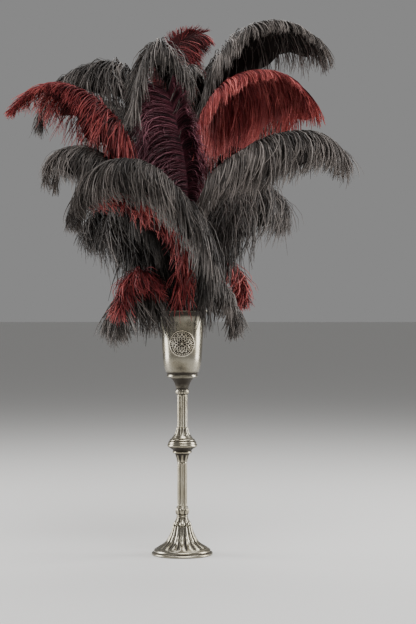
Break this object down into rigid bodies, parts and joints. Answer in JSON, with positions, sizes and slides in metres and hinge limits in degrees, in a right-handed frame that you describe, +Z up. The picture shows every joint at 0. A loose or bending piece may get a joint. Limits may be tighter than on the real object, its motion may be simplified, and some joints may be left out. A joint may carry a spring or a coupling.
{
  "type": "ostrich feather bouquet in a goblet vase",
  "caption": "Bouquet of black, dark-red and plum ostrich plumes standing in a tall goblet vase with a reeded stem and an antiqued silver finish.",
  "frame": {"origin": "centre of the foot's flat underside, on the surface that the vase stands on", "axes": "+Z up along the vase's axis, -Y towards the viewer and the cup's medallion, +X to the viewer's right"},
  "size_m": [0.574, 0.3894, 0.8981],
  "materials": {
    "antique_silver": "antiqued silver plate with dark patina in its recesses, satin to polished",
    "medallion_silver": "antiqued silver relief, blackened in its ground",
    "black_plume": "dyed black ostrich barbs, soft and matt",
    "red_plume": "dyed dark-red ostrich barbs, soft and matt",
    "plum_plume": "dyed plum ostrich barbs, soft and matt"
  },
  "bodies": {
    "root": {"foot": "antique_silver", "foot_collar": "antique_silver", "stem_knuckle": "antique_silver", "lower_stem": "antique_silver", "knop": "antique_silver", "upper_stem": "antique_silver", "cup_socket": "antique_silver", "cup": "antique_silver", "medallion": "medallion_silver", "plume_front_black": "black_plume", "plume_front_red": "red_plume", "plume_centre_plum": "plum_plume", "plume_right_black": "black_plume", "plume_right_red": "red_plume", "plume_crest_black": "black_plume", "plume_crown_red": "red_plume", "plume_arch_black": "black_plume", "plume_peak_black": "black_plume", "plume_upper_left_black": "black_plume", "plume_left_red": "red_plume", "plume_left_black": "black_plume", "plume_left_hem_black": "black_plume", "plume_low_left_black": "black_plume", "plume_low_left_red": "red_plume", "plume_low_right_black": "black_plume", "plume_low_right_red": "red_plume", "plume_under_right_black": "black_plume", "plume_back_right_black": "black_plume", "plume_back_red": "red_plume", "plume_back_low_black": "black_plume", "plume_back_low_red": "red_plume", "plume_back_left_black": "black_plume"}
  },
  "joints": []
}
